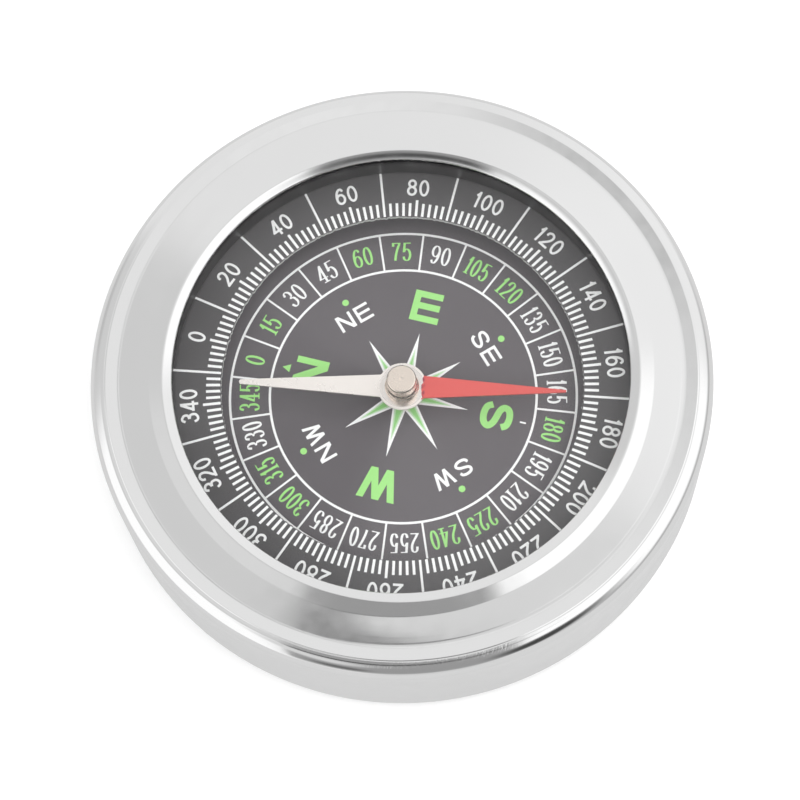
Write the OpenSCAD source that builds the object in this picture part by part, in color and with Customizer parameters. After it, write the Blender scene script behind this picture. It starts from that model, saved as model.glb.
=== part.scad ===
// Pocket compass: a pressed steel case and bezel, a glazed capsule that holds the dial and the
// degree ring, and a needle that turns on a steel point.
// The origin is the centre of the flat back, +Z goes up through the crystal, and +Y points to the
// dial's north mark.

/* [Case] */
// Outside diameter of the case
case_d = 75; // [72:0.5:80]
// Height from the flat back to the crest of the bezel, before its crease is rounded
case_h = 17; // [16.5:0.1:18]
// Outside radius of the corner between the wall and the foot rolled in under it
corner_r = 2.5; // [1.5:0.1:3]
// Width of the rolled foot, from the case's side to its cut edge
rolled_w = 4.2; // [3.6:0.1:5]
// Thickness of the back cup's sheet steel
cup_t = 0.5; // [0.4:0.05:0.6]
// Width of the back cup's slant, where its middle drops through the rolled foot
slant_w = 0.5; // [0.4:0.05:0.8]

/* [Bezel] */
// Thickness of the bezel's sheet steel, which also forms the wall and the rolled foot
bezel_t = 0.5; // [0.4:0.05:0.55]
// Width of the bezel from the case's side to the window's edge
bezel_w = 10.1; // [9.5:0.05:11.5]
// Width of the lip that slopes down into the window
lip_w = 1.2; // [1:0.05:1.5]
// Drop of the lip from the crest to the window's edge
lip_drop = 0.3; // [0.2:0.05:0.6]
// Width of the slope outside the crest
slope_w = 1.7; // [1.2:0.1:2.2]
// Drop of the slope outside the crest
slope_drop = 0.3; // [0.2:0.05:0.5]
// Drop across the broad band
band_drop = 0.24; // [0.1:0.02:0.3]
// Radius of the shallow valley between the broad band and the land
valley_r = 4.5; // [3:0.5:6]
// Width of the land outside the valley
land_w = 1.5; // [1:0.05:1.8]
// Rise of the land, whose face leans towards the window
land_rise = 0.15; // [0.1:0.01:0.2]
// Width of the small step from the land down to the shoulder
step_w = 0.15; // [0.15:0.05:0.3]
// Drop of the small step from the land down to the shoulder
step_drop = 0.05; // [0.03:0.01:0.08]
// Width of the flat from the small step to the shoulder
shoulder_flat = 0.1; // [0.1:0.05:0.3]
// Outside radius of the shoulder that rolls over into the wall
shoulder_r = 1.8; // [1.4:0.1:2.2]
// Outside radius of the pressed creases
crease_r = 0.8; // [0.6:0.1:1.2]

/* [Crystal] */
// Thickness of the crystal
crystal_t = 1.5; // [1.2:0.1:1.8]
// Width of the ground bevel on the crystal's edges
crystal_bevel = 0.2; // [0.1:0.05:0.3]
// Thickness of the gasket under the window's edge
gasket_t = 0.35; // [0.2:0.05:0.45]
// Distance of the gasket's inside edge behind the window's edge
gasket_setback = 0.2; // [0.1:0.05:0.4]
// Distance of the seat's wall behind the window's edge
seat_setback = 0.7; // [0.5:0.05:1]
// Wall of the seat that carries the crystal
seat_w = 1.4; // [1:0.1:2]
// Height of the seat that carries the crystal
seat_h = 3.2; // [3:0.05:3.4]

/* [Dial] */
// Width of the degree ring, part of which lies under the seat
ring_w = 7.4; // [6:0.1:7.8]
// Thickness of the degree ring
ring_t = 0.5; // [0.3:0.05:0.6]
// Height of the spacer between dial and degree ring
spacer_h = 3.35; // [3.2:0.05:3.5]
// Distance of the spacer's bore behind the seat's wall
spacer_setback = 1.6; // [1:0.1:2.2]
// Thickness of the dial plate
dial_t = 0.5; // [0.4:0.05:0.8]

/* [Housing] */
// Wall of the housing round the capsule
pocket_wall = 1.2; // [0.8:0.1:1.6]
// Thickness of the housing's floor
floor_t = 1.2; // [1:0.1:1.6]
// Wall of the housing's foot ring and of its middle boss
foot_wall = 1.2; // [0.8:0.1:1.8]
// Inside diameter of the middle boss under the floor
boss_in_d = 6.4; // [5.6:0.2:8]
// Number of ribs under the floor
rib_count = 8; // [4:1:12]
// Thickness of a rib
rib_t = 1; // [0.8:0.1:1.4]
// Thickness of the backing pad
pad_t = 0.8; // [0.5:0.1:1.2]

/* [Needle] */
// Distance of the needle's tips inside the degree ring's bore
tip_gap = 2.1; // [1.6:0.1:4]
// Width of the blades where they leave the middle disc
needle_w = 3.2; // [2.6:0.1:3.6]
// Diameter of the needle's middle disc
needle_disc_d = 6; // [5:0.2:7]
// Width of the plain blade's rounded tip
plain_tip_w = 0.6; // [0.4:0.05:0.9]
// Width of the painted blade's sharp tip
painted_tip_w = 0.25; // [0.2:0.05:0.4]
// Thickness of the needle
needle_t = 0.25; // [0.2:0.05:0.35]
// Height of the needle's underside above the dial
needle_lift = 2.95; // [2.4:0.05:3]
// Angle from north to the plain blade at rest, turning from north to west
needle_rest = 12; // [-180:1:180]

/* [Hub] */
// Diameter of the hub
hub_d = 3.62; // [3.4:0.02:4]
// Radius of the hub's top edge
hub_edge_r = 0.25; // [0.1:0.05:0.4]
// Gap from the hub's top to the crystal
hub_gap = 1.05; // [0.8:0.05:1.2]
// Diameter of the hub's stem where it passes through the needle
stem_d = 2.5; // [2.3:0.05:2.7]
// Outside diameter of the ring that holds the stem under the needle
clinch_d = 4.2; // [3.6:0.1:4.8]
// Thickness of the ring that holds the stem
clinch_t = 0.4; // [0.3:0.05:0.5]
// Diameter of the jewel
jewel_d = 1.7; // [1.6:0.05:1.8]
// Height of the jewel
jewel_h = 0.9; // [0.8:0.05:1]
// Depth of the cone in the jewel
jewel_cone_h = 0.6; // [0.4:0.05:0.65]
// Thickness of the hub's closed top over the jewel
hub_top_t = 0.5; // [0.4:0.05:0.7]

/* [Pivot] */
// Diameter of the pivot pin
pin_d = 0.9; // [0.8:0.05:1]
// Length of the pin's tapered point
point_h = 1.2; // [1:0.05:1.5]
// Diameter of the pin's point
point_d = 0.08; // [0.06:0.01:0.12]
// Diameter of the bush's shank
bush_d = 2.2; // [2:0.1:2.6]
// Diameter of the bush's flange on the dial
bush_flange_d = 3.8; // [3.2:0.1:4.4]
// Thickness of the bush's flange
bush_flange_t = 0.4; // [0.3:0.05:0.6]
// Outside diameter of the washer under the floor
washer_d = 4.8; // [4:0.1:5.2]
// Thickness of the washer under the floor
washer_t = 0.4; // [0.3:0.05:0.6]

/* [Fits] */
// Radial clearance between parts that nest in each other
nest_fit = 0.1; // [0.05:0.01:0.15]
// Radial clearance of parts pressed together
press_gap = 0.02; // [0.01:0.01:0.05]
// Gap between the point and the bottom of the jewel's cone
point_gap = 0.03; // [0.02:0.01:0.06]

/* [Hidden] */

$fn = 96;
arc_step = 6;             // degrees between the points of a pressed corner
cut = 0.5;                // overrun of cuts

case_r = case_d / 2;
nest_r = case_r - bezel_t - nest_fit / 2;    // radius of what nests inside the wall
window_r = case_r - bezel_w;

// Heights, from the lip down to the housing's floor
lip_z = case_h - lip_drop;
crystal_top_z = lip_z - bezel_t - gasket_t;
crystal_z = crystal_top_z - crystal_t;
ring_top_z = crystal_z - seat_h;
ring_z = ring_top_z - ring_t;
dial_top_z = ring_z - spacer_h;
dial_z = dial_top_z - dial_t;
floor_z = dial_z - floor_t;
pad_top_z = cup_t + pad_t;

// Radii of the capsule
seat_in_r = window_r + seat_setback;
capsule_r = seat_in_r + seat_w;
ring_in_r = capsule_r - ring_w;
pocket_r = capsule_r + nest_fit;
rolled_x = case_r - rolled_w;
dish_x = rolled_x - 2 * nest_fit - slant_w;
foot_r = dish_x - cup_t;
boss_in_r = boss_in_d / 2;

// Heights on the pivot's axis
needle_z = dial_top_z + needle_lift;
needle_top_z = needle_z + needle_t;
hub_top_z = crystal_z - hub_gap;
jewel_top_z = hub_top_z - hub_top_t;
jewel_z = jewel_top_z - jewel_h;
point_z = jewel_z + jewel_cone_h - point_gap;
pin_z = floor_z - washer_t;

// Pressed sheet: a path with rounded corners and the same path one thickness to its left
function unit(v) = v / norm(v);
function left_of(v) = [-v[1], v[0]];
function on_circle(middle, r, angle) = middle + r * [cos(angle), sin(angle)];

function corner_arc(a, b, c, r) =
    let (u = unit(a - b), v = unit(c - b),
         half = acos(u * v) / 2,
         middle = b + unit(u + v) * r / sin(half),
         start = b + u * r / tan(half) - middle,
         stop = b + v * r / tan(half) - middle,
         turn = (180 - 2 * half) * sign(cross(start, stop)),
         from = atan2(start[1], start[0]),
         n = max(2, ceil(abs(turn) / arc_step)))
    [for (k = [0 : n]) on_circle(middle, r, from + turn * k / n)];

function rounded(path, radii) =
    [for (i = [0 : len(path) - 1])
        each (radii[i] == 0 ? [path[i]] : corner_arc(path[i - 1], path[i], path[i + 1], radii[i]))];

function beside(path, t) =
    [for (i = [0 : len(path) - 1])
        let (last = len(path) - 1,
             before = left_of(unit(path[max(i, 1)] - path[max(i, 1) - 1])),
             after = left_of(unit(path[min(i + 1, last)] - path[min(i + 1, last) - 1])))
        path[i] + t * (before + after) / (1 + before * after)];

function reversed(path) = [for (i = [len(path) - 1 : -1 : 0]) path[i]];

// Half-round end of a sheet, from its outer face to its inner face
function round_end(a, b) =
    let (middle = (a + b) / 2, from = atan2(a[1] - b[1], a[0] - b[0]), n = 180 / (2 * arc_step))
    [for (k = [1 : n - 1]) on_circle(middle, norm(a - b) / 2, from + 180 * k / n)];

// The bezel's outer face, from the rolled foot up the wall and over the shoulder to the window's edge
crest_x = window_r + lip_w;
slope_x = crest_x + slope_w;
slope_z = case_h - slope_drop;
valley_z = slope_z - band_drop;
land_z = valley_z + land_rise;
shoulder_z = land_z - step_drop;
step_x = case_r - shoulder_r - shoulder_flat;
land_x = step_x - step_w;
valley_x = land_x - land_w;
step_r = crease_r / 4;

bezel_path = rounded(
    [[rolled_x, 0], [case_r, 0], [case_r, shoulder_z], [step_x, shoulder_z], [land_x, land_z],
     [valley_x, valley_z], [slope_x, slope_z], [crest_x, case_h], [window_r + bezel_t / 2, lip_z]],
    [0, corner_r, shoulder_r, step_r, step_r, valley_r, crease_r, crease_r, 0]);

// The back cup's outer face: flush with the rolled foot in the middle, then over it and up the wall
cup_z = bezel_t + press_gap;
cup_path = rounded(
    [[0, 0], [dish_x, 0], [dish_x + slant_w, cup_z], [nest_r, cup_z], [nest_r, floor_z - nest_fit]],
    [0, cup_t + press_gap, press_gap, corner_r - bezel_t, 0]);

module tube(r_in, r_out, z, h) {
    rotate_extrude() translate([r_in, z]) square([r_out - r_in, h]);
}

module disc(r, z, h) {
    translate([0, 0, z]) cylinder(r = r, h = h);
}

module case_cup() {
    color([0.78, 0.78, 0.79])
    rotate_extrude() polygon(concat(cup_path, reversed(beside(cup_path, cup_t))));
}

module bezel() {
    inner = beside(bezel_path, bezel_t);
    lip_end = bezel_path[len(bezel_path) - 1];
    color([0.82, 0.82, 0.83])
    rotate_extrude()
    polygon(concat(bezel_path, round_end(lip_end, inner[len(inner) - 1]), reversed(inner)));
}

module crystal() {
    b = crystal_bevel;
    color([0.9, 0.95, 0.95, 0.3])
    rotate_extrude()
    polygon([[0, crystal_z], [capsule_r - b, crystal_z], [capsule_r, crystal_z + b],
             [capsule_r, crystal_top_z - b], [capsule_r - b, crystal_top_z], [0, crystal_top_z]]);
}

// The gasket fills the wedge between the crystal and the underside of the lip
module crystal_gasket() {
    gasket_r = window_r + gasket_setback;
    under_lip = beside(bezel_path, bezel_t + press_gap);
    color([0.05, 0.05, 0.05])
    rotate_extrude()
    intersection() {
        translate([gasket_r, crystal_top_z])
        square([capsule_r - crystal_bevel - gasket_r, case_h - crystal_top_z]);
        polygon(concat(under_lip, [[gasket_r - cut, under_lip[len(under_lip) - 1][1]],
                                   [gasket_r - cut, dial_z]]));
    }
}

module crystal_seat() {
    color([0.06, 0.06, 0.07]) tube(seat_in_r, capsule_r, ring_top_z, seat_h);
}

module degree_ring() {
    color([0.2, 0.2, 0.21]) tube(ring_in_r, capsule_r, ring_z, ring_t);
}

module ring_spacer() {
    color([0.1, 0.1, 0.1]) tube(seat_in_r - spacer_setback, capsule_r, dial_top_z, spacer_h);
}

module dial_plate() {
    color([0.25, 0.25, 0.26]) tube(bush_d / 2 + press_gap, capsule_r, dial_z, dial_t);
}

// Black moulding: a pocket for the capsule on a ribbed floor
module housing() {
    boss_r = boss_in_r + foot_wall;
    foot_in_r = foot_r - foot_wall;
    root_z = dial_z - floor_t / 2;    // walls, boss and ribs run into the floor this far
    color([0.12, 0.12, 0.12])
    union() {
        tube(bush_d / 2 + press_gap, nest_r, floor_z, floor_t);
        tube(pocket_r, pocket_r + pocket_wall, root_z, crystal_top_z - root_z);
        tube(foot_in_r, foot_r, pad_top_z, root_z - pad_top_z);
        tube(boss_in_r, boss_r, pad_top_z, root_z - pad_top_z);
        for (i = [0 : rib_count - 1])
            rotate(i * 360 / rib_count)
            translate([boss_r - foot_wall / 2, -rib_t / 2, pad_top_z])
            cube([foot_in_r - boss_r + foot_wall, rib_t, root_z - pad_top_z]);
    }
}

module backing_pad() {
    color([0.3, 0.3, 0.3]) disc(foot_r, cup_t, pad_t);
}

module pivot_bush() {
    color([0.8, 0.65, 0.3])
    difference() {
        union() {
            disc(bush_flange_d / 2, dial_top_z, bush_flange_t);
            disc(bush_d / 2, pin_z, dial_top_z - pin_z + bush_flange_t);
        }
        disc(pin_d / 2 + press_gap, pin_z - cut, case_h);
    }
}

module bush_washer() {
    color([0.8, 0.65, 0.3]) tube(bush_d / 2 + press_gap, washer_d / 2, pin_z, washer_t);
}

module pivot_pin() {
    color([0.7, 0.7, 0.72])
    rotate_extrude()
    polygon([[0, pin_z], [pin_d / 2, pin_z], [pin_d / 2, point_z - point_h],
             [point_d / 2, point_z], [0, point_z]]);
}

// Flat steel needle: two tapered blades on a round middle, the painted one pointing along -Y
module needle() {
    half_l = ring_in_r - tip_gap;
    tip_r = plain_tip_w / 2;
    color([0.8, 0.3, 0.3])
    translate([0, 0, needle_z])
    rotate(needle_rest)
    linear_extrude(needle_t)
    difference() {
        union() {
            circle(d = needle_disc_d);
            polygon([[-needle_w / 2, 0], [-painted_tip_w / 2, -half_l], [painted_tip_w / 2, -half_l],
                     [needle_w / 2, 0], [tip_r, half_l - tip_r], [-tip_r, half_l - tip_r]]);
            translate([0, half_l - tip_r]) circle(r = tip_r);
        }
        circle(r = stem_d / 2 + press_gap);
    }
}

// Turned hub: a plain drum on the needle, a stem through it and a blind bore for the jewel
module needle_hub() {
    drum_r = hub_d / 2;
    bore_r = jewel_d / 2 + press_gap;
    stem_z = needle_z - clinch_t;
    color([0.75, 0.7, 0.64])
    difference() {
        union() {
            disc(stem_d / 2, stem_z, hub_top_z - hub_edge_r - stem_z);
            disc(drum_r, needle_top_z, hub_top_z - hub_edge_r - needle_top_z);
            disc(drum_r - hub_edge_r, needle_top_z, hub_top_z - needle_top_z);
            rotate_extrude() translate([drum_r - hub_edge_r, hub_top_z - hub_edge_r])
            intersection() {
                circle(r = hub_edge_r);
                translate([0, -hub_edge_r]) square([hub_edge_r, 2 * hub_edge_r]);
            }
        }
        disc(bore_r, stem_z - cut, jewel_top_z - stem_z + cut);
    }
}

module jewel() {
    mouth_share = 0.7;    // width of the cone's mouth as a share of the jewel's diameter
    color([0.6, 0.1, 0.2])
    rotate_extrude()
    polygon([[0, jewel_z + jewel_cone_h], [mouth_share * jewel_d / 2, jewel_z],
             [jewel_d / 2, jewel_z], [jewel_d / 2, jewel_top_z], [0, jewel_top_z]]);
}

module clinch_ring() {
    color([0.75, 0.7, 0.64])
    tube(stem_d / 2 + press_gap, clinch_d / 2, needle_z - clinch_t, clinch_t);
}

case_cup();
bezel();
crystal();
crystal_gasket();
crystal_seat();
degree_ring();
ring_spacer();
dial_plate();
housing();
backing_pad();
pivot_bush();
bush_washer();
pivot_pin();
needle();
needle_hub();
jewel();
clinch_ring();
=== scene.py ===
# Pocket compass: polished steel bezel and case, printed dial and degree ring, painted needle.
# Sizes are in millimetres in the dictionaries and become metres when a mesh is made.
from math import cos, degrees, pi, radians, sin, tau

import bmesh
import bpy
import numpy as np
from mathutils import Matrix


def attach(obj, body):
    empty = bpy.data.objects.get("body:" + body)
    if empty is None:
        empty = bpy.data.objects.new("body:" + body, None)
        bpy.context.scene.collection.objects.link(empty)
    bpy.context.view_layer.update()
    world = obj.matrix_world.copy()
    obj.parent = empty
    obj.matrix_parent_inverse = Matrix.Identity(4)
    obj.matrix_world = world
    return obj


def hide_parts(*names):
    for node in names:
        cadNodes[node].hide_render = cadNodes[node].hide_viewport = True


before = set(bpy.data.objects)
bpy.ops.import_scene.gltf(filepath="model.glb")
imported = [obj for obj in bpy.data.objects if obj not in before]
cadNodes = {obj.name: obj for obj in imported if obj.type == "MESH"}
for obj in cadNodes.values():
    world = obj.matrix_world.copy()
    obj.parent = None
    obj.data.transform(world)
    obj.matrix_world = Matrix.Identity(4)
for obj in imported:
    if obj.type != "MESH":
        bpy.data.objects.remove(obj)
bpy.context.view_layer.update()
mm = 0.001
print("frame loaded")


# Mesh helpers

def addPiece(name, verts, faces, finishes, body, slotName, replaced=(), smooth=0.0, faceFinish=None):
    # verts in mm; smooth is the sharpest angle, in degrees, that still shades as one surface
    mesh = bpy.data.meshes.new(name)
    mesh.from_pydata((np.asarray(verts) * mm).tolist(), [], [list(f) for f in faces])
    for finish in finishes:
        mesh.materials.append(finish)
    if faceFinish is not None:
        mesh.polygons.foreach_set("material_index", np.asarray(faceFinish, dtype=np.int32))
    if smooth:
        mesh.shade_smooth()
        mesh.set_sharp_from_angle(angle=radians(smooth))
    mesh.update()
    piece = bpy.data.objects.new(name, mesh)
    bpy.context.collection.objects.link(piece)
    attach(piece, body)
    if replaced:
        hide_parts(*replaced)
    return piece


def turned(profile, steps, closed=True):
    # Surface of revolution: profile point (r, z) at angle t lies at (r cos t, r sin t, z).
    # The profile runs with the solid on its left, so that the faces look outwards.
    profile = np.asarray(profile, dtype=float)
    t = np.arange(steps) * tau / steps
    r, z = profile[:, :1], profile[:, 1:]
    verts = np.stack([r * np.cos(t), r * np.sin(t), z + 0 * t], axis=-1).reshape(-1, 3)
    n = len(profile)
    i, j = np.meshgrid(np.arange(n if closed else n - 1), np.arange(steps), indexing="ij")
    i2, j2 = (i + 1) % n, (j + 1) % steps
    faces = np.stack([i * steps + j, i * steps + j2, i2 * steps + j2, i2 * steps + j], axis=-1)
    return verts, faces.reshape(-1, 4)


def mergeDoubles(piece, distance=1e-4):
    # joins points that lie on each other, such as the ring of points at a pole
    work = bmesh.new()
    work.from_mesh(piece.data)
    bmesh.ops.remove_doubles(work, verts=work.verts, dist=distance * mm)
    work.to_mesh(piece.data)
    work.free()


# Profiles of pressed sheet

def direction(a, b):
    step = np.subtract(b, a)
    return step / np.linalg.norm(step)


def creasedPath(points, radii, arcStep=2.0, support=0.02):
    # A path whose corners are circular arcs. An extra point just before and after each arc keeps
    # the flats between the arcs flat when they are shaded.
    points = [np.array(p, dtype=float) for p in points]
    path = []
    for k, (corner, r) in enumerate(zip(points, radii)):
        if r == 0:
            path.append(corner[None])
            continue
        u, v = direction(corner, points[k - 1]), direction(corner, points[k + 1])
        half = np.arccos(np.clip(u @ v, -1, 1)) / 2
        reach = r / np.tan(half)
        middle = corner + (u + v) / np.linalg.norm(u + v) * r / np.sin(half)
        start, stop = corner + u * reach - middle, corner + v * reach - middle
        a0 = np.arctan2(start[1], start[0])
        swing = (pi - 2 * half) * np.sign(start[0] * stop[1] - start[1] * stop[0])
        n = max(2, int(np.ceil(np.degrees(abs(swing)) / arcStep)))
        a = a0 + swing * np.arange(n + 1) / n
        arc = middle + r * np.stack([np.cos(a), np.sin(a)], axis=1)
        path.append(np.vstack([arc[0] + u * support, arc, arc[-1] + v * support]))
    return np.vstack(path)


def besidePath(path, t):
    # the same path moved by t to its left, each corner on the line that halves its angle
    step = np.diff(path, axis=0)
    left = np.stack([-step[:, 1], step[:, 0]], axis=1) / np.linalg.norm(step, axis=1)[:, None]
    before, after = np.vstack([left[:1], left]), np.vstack([left, left[-1:]])
    return path + t * (before + after) / (1 + (before * after).sum(axis=1))[:, None]


def roundEnd(a, b, n=9):
    # half circle from a to b, bulging to the side away from the sheet
    middle, r = (a + b) / 2, np.linalg.norm(a - b) / 2
    a0 = np.arctan2(a[1] - b[1], a[0] - b[0])
    t = a0 + pi * np.arange(1, n) / n
    return middle + r * np.stack([np.cos(t), np.sin(t)], axis=1)


# Node helpers

def addNode(tree, kind, sockets=None, **settings):
    node = tree.nodes.new(kind)
    for key, value in settings.items():
        setattr(node, key, value)  # first, because a node's kind of data sets its sockets
    for key, value in (sockets or {}).items():
        if isinstance(value, bpy.types.NodeSocket):
            tree.links.new(value, node.inputs[key])
        else:
            node.inputs[key].default_value = value
    return node


def maths(tree, operation, a, b=0.0, clamp=False):
    return addNode(tree, "ShaderNodeMath", {0: a, 1: b}, operation=operation, use_clamp=clamp).outputs[0]


def vectorMaths(tree, operation, a, b=(0, 0, 0), output="Vector"):
    return addNode(tree, "ShaderNodeVectorMath", {0: a, 1: b}, operation=operation).outputs[output]


def remapped(tree, place, turn=(0, 0, 0), scale=(1, 1, 1)):
    # the same place, stretched and then turned
    sockets = {"Vector": place, "Rotation": turn, "Scale": scale}
    return addNode(tree, "ShaderNodeMapping", sockets).outputs[0]


def coordinates(tree, place):
    return addNode(tree, "ShaderNodeSeparateXYZ", {0: place}).outputs


def mapped(tree, value, low, high, newLow, newHigh, kind="LINEAR"):
    sockets = {"Value": value, "From Min": low, "From Max": high, "To Min": newLow, "To Max": newHigh}
    return addNode(tree, "ShaderNodeMapRange", sockets, interpolation_type=kind, clamp=True).outputs[0]


def noise(tree, vector, scale, detail=2.0):
    sockets = {"Vector": vector, "Scale": scale, "Detail": detail}
    return addNode(tree, "ShaderNodeTexNoise", sockets).outputs["Fac"]


def blendColour(tree, factor, a, b):
    return addNode(tree, "ShaderNodeMix", {0: factor, 6: (*a, 1), 7: (*b, 1)}, data_type="RGBA").outputs[2]


def blendValue(tree, factor, a, b):
    return addNode(tree, "ShaderNodeMix", {0: factor, 2: a, 3: b}, data_type="FLOAT").outputs[0]


def newMaterial(name, values):
    material = bpy.data.materials.new(name)
    material.use_nodes = True
    shader = material.node_tree.nodes["Principled BSDF"]
    for key, value in values.items():
        shader.inputs[key].default_value = value
    objectPlace = addNode(material.node_tree, "ShaderNodeTexCoord").outputs["Object"]
    return material, material.node_tree, shader, objectPlace


def connect(tree, shader, **outputs):
    names = {"colour": "Base Color", "roughness": "Roughness", "normal": "Normal"}
    for key, socket in outputs.items():
        tree.links.new(socket, shader.inputs[names[key]])


def bump(tree, height, distance, strength=1.0, normal=None):
    sockets = {"Height": height, "Distance": distance * mm, "Strength": strength}
    node = addNode(tree, "ShaderNodeBump", sockets)
    if normal is not None:
        tree.links.new(normal, node.inputs["Normal"])
    return node.outputs["Normal"]


def axisDistance(tree, place):
    # distance from the vertical axis, in metres
    return vectorMaths(tree, "LENGTH", vectorMaths(tree, "MULTIPLY", place, (1, 1, 0)), output="Value")


def turnedLines(tree, place, perMetre):
    # noise of the distance from the axis and the height only: fine lines round the axis
    sockets = {0: axisDistance(tree, place), 1: coordinates(tree, place)["Z"]}
    return noise(tree, addNode(tree, "ShaderNodeCombineXYZ", sockets).outputs[0], perMetre, 4)


# Finishes: the scale of a grain is in waves per metre, and its depth in mm

steelGrain = {"clouds": 70, "cloudDepth": 0.02, "smears": 420, "lines": 9000, "rubs": 1100, "rubDepth": 0.02,
              "streaks": 500, "streakDepth": 0.03, "wallDuller": 0.12}


def steelFinish(name, tone, roughLow, roughHigh, lineDepth, rubs=None, wallFrom=None):
    # polished sheet: faint turning lines and a cloudy polish; where they are given, crossing rub
    # marks on one side of the shoulder, and a duller, streaked wall
    material, tree, shader, place = newMaterial(name, {"Metallic": 1.0})
    radius = axisDistance(tree, place)
    clouds = noise(tree, place, steelGrain["clouds"], 2)
    smears = noise(tree, place, steelGrain["smears"], 4)
    colour = blendColour(tree, clouds, [c * 0.98 for c in tone], [min(1, c * 1.02) for c in tone])
    rough = mapped(tree, smears, 0.3, 0.7, roughLow, roughHigh)
    normal = bump(tree, turnedLines(tree, place, steelGrain["lines"]), lineDepth)
    normal = bump(tree, clouds, steelGrain["cloudDepth"], 1.0, normal)
    if rubs is not None:
        tilted = remapped(tree, place, (0.3, 0.5, 0.8), (1, 5, 1))
        marks = noise(tree, tilted, steelGrain["rubs"], 3)
        x, y, z = coordinates(tree, remapped(tree, place, (0, 0, radians(-rubs["bearing"]))))
        angle = maths(tree, "ABSOLUTE", maths(tree, "ARCTAN2", y, x))
        begun = mapped(tree, radius, rubs["from"] * mm, (rubs["from"] + 0.15) * mm, 0, 1)
        unended = mapped(tree, radius, rubs["to"] * mm, (rubs["to"] + 0.3) * mm, 1, 0)
        near = mapped(tree, angle, radians(rubs["half"] - 8), radians(rubs["half"]), 1, 0)
        where = maths(tree, "MULTIPLY", maths(tree, "MULTIPLY", begun, unended), near)
        normal = bump(tree, maths(tree, "MULTIPLY", marks, where), steelGrain["rubDepth"], 1.0, normal)
    if wallFrom is not None:
        upright = remapped(tree, place, scale=(1, 1, 0.15))
        where = mapped(tree, radius, (wallFrom - 0.12) * mm, wallFrom * mm, 0, 1)
        streaks = maths(tree, "MULTIPLY", noise(tree, upright, steelGrain["streaks"], 5), where)
        normal = bump(tree, streaks, steelGrain["streakDepth"], 1.0, normal)
        rough = maths(tree, "ADD", rough, maths(tree, "MULTIPLY", where, steelGrain["wallDuller"]))
    connect(tree, shader, colour=colour, roughness=rough, normal=normal)
    return material


def paintFinish(name, colour, roughness, mottle=0.06, grain=0.002, perMetre=1500):
    # ink, lacquer, plastic or rubber: a little tone and height noise at the grain's own scale
    material, tree, shader, place = newMaterial(name, {"Roughness": roughness})
    fine = noise(tree, place, perMetre, 3)
    coarse = noise(tree, place, perMetre / 4)
    dark, light = [c * (1 - mottle) for c in colour], [min(1, c * (1 + mottle)) for c in colour]
    connect(tree, shader, colour=blendColour(tree, fine, dark, light), normal=bump(tree, fine, grain),
            roughness=mapped(tree, coarse, 0.3, 0.7, roughness * 0.9, roughness * 1.1))
    return material


def metalFinish(name, colour, roughness, perMetre=6000, lineDepth=0.0006):
    # turned brass, nickel or steel
    material, tree, shader, place = newMaterial(name, {"Metallic": 1.0})
    clouds = noise(tree, place, 700, 3)
    connect(tree, shader, colour=blendColour(tree, clouds, [c * 0.97 for c in colour], colour),
            roughness=mapped(tree, clouds, 0.3, 0.7, roughness * 0.85, roughness * 1.15),
            normal=bump(tree, turnedLines(tree, place, perMetre), lineDepth))
    return material


# The needle rests turned anticlockwise from north, in degrees. Round its middle the steel is burnished,
# to a radius in mm, and the paint's dark border runs between two places along the blade, in mm.
needleLook = {"turn": 12.0, "burnishedTo": 2.6, "dullFrom": 2.75, "burnishedMetal": 0.95, "dullMetal": 0.5,
              "burnishedRough": 0.16, "borderFrom": -2.85, "borderTo": -2.65}


def needleFinish(name, colour, roughness):
    # dull plated strip: fine lines along the blades, a few faint rubs, burnished round the hub
    material, tree, shader, place = newMaterial(name, {"Metallic": needleLook["dullMetal"]})
    radius = axisDistance(tree, place)
    zone = (needleLook["burnishedTo"] * mm, needleLook["dullFrom"] * mm)
    burnished = mapped(tree, radius, *zone, 1, 0)
    metallic = mapped(tree, radius, *zone, needleLook["burnishedMetal"], needleLook["dullMetal"])
    tree.links.new(metallic, shader.inputs["Metallic"])
    along = remapped(tree, place, (0, 0, radians(-needleLook["turn"])), (1, 0.04, 1))
    lines = noise(tree, along, 9000, 3)
    rubs = noise(tree, place, 600, 2)
    rough = mapped(tree, rubs, 0.35, 0.7, roughness * 0.8, roughness * 1.3)
    connect(tree, shader, colour=blendColour(tree, rubs, [c * 0.97 for c in colour], colour),
            roughness=blendValue(tree, burnished, rough, needleLook["burnishedRough"]),
            normal=bump(tree, lines, 0.0008))
    return material


def needlePaint(name, colour, borderColour, roughness):
    # enamel on one blade, darker in a broken line along its ragged start
    material, tree, shader, place = newMaterial(name, {"Roughness": roughness})
    y = coordinates(tree, remapped(tree, place, (0, 0, radians(-needleLook["turn"]))))["Y"]
    specks = mapped(tree, noise(tree, place, 2500, 2), 0.42, 0.55, 0, 1)
    atStart = mapped(tree, y, needleLook["borderFrom"] * mm, needleLook["borderTo"] * mm, 0, 1)
    border = maths(tree, "MULTIPLY", atStart, specks)
    connect(tree, shader, colour=blendColour(tree, border, colour, borderColour),
            normal=bump(tree, noise(tree, place, 900, 3), 0.002))
    return material


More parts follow.
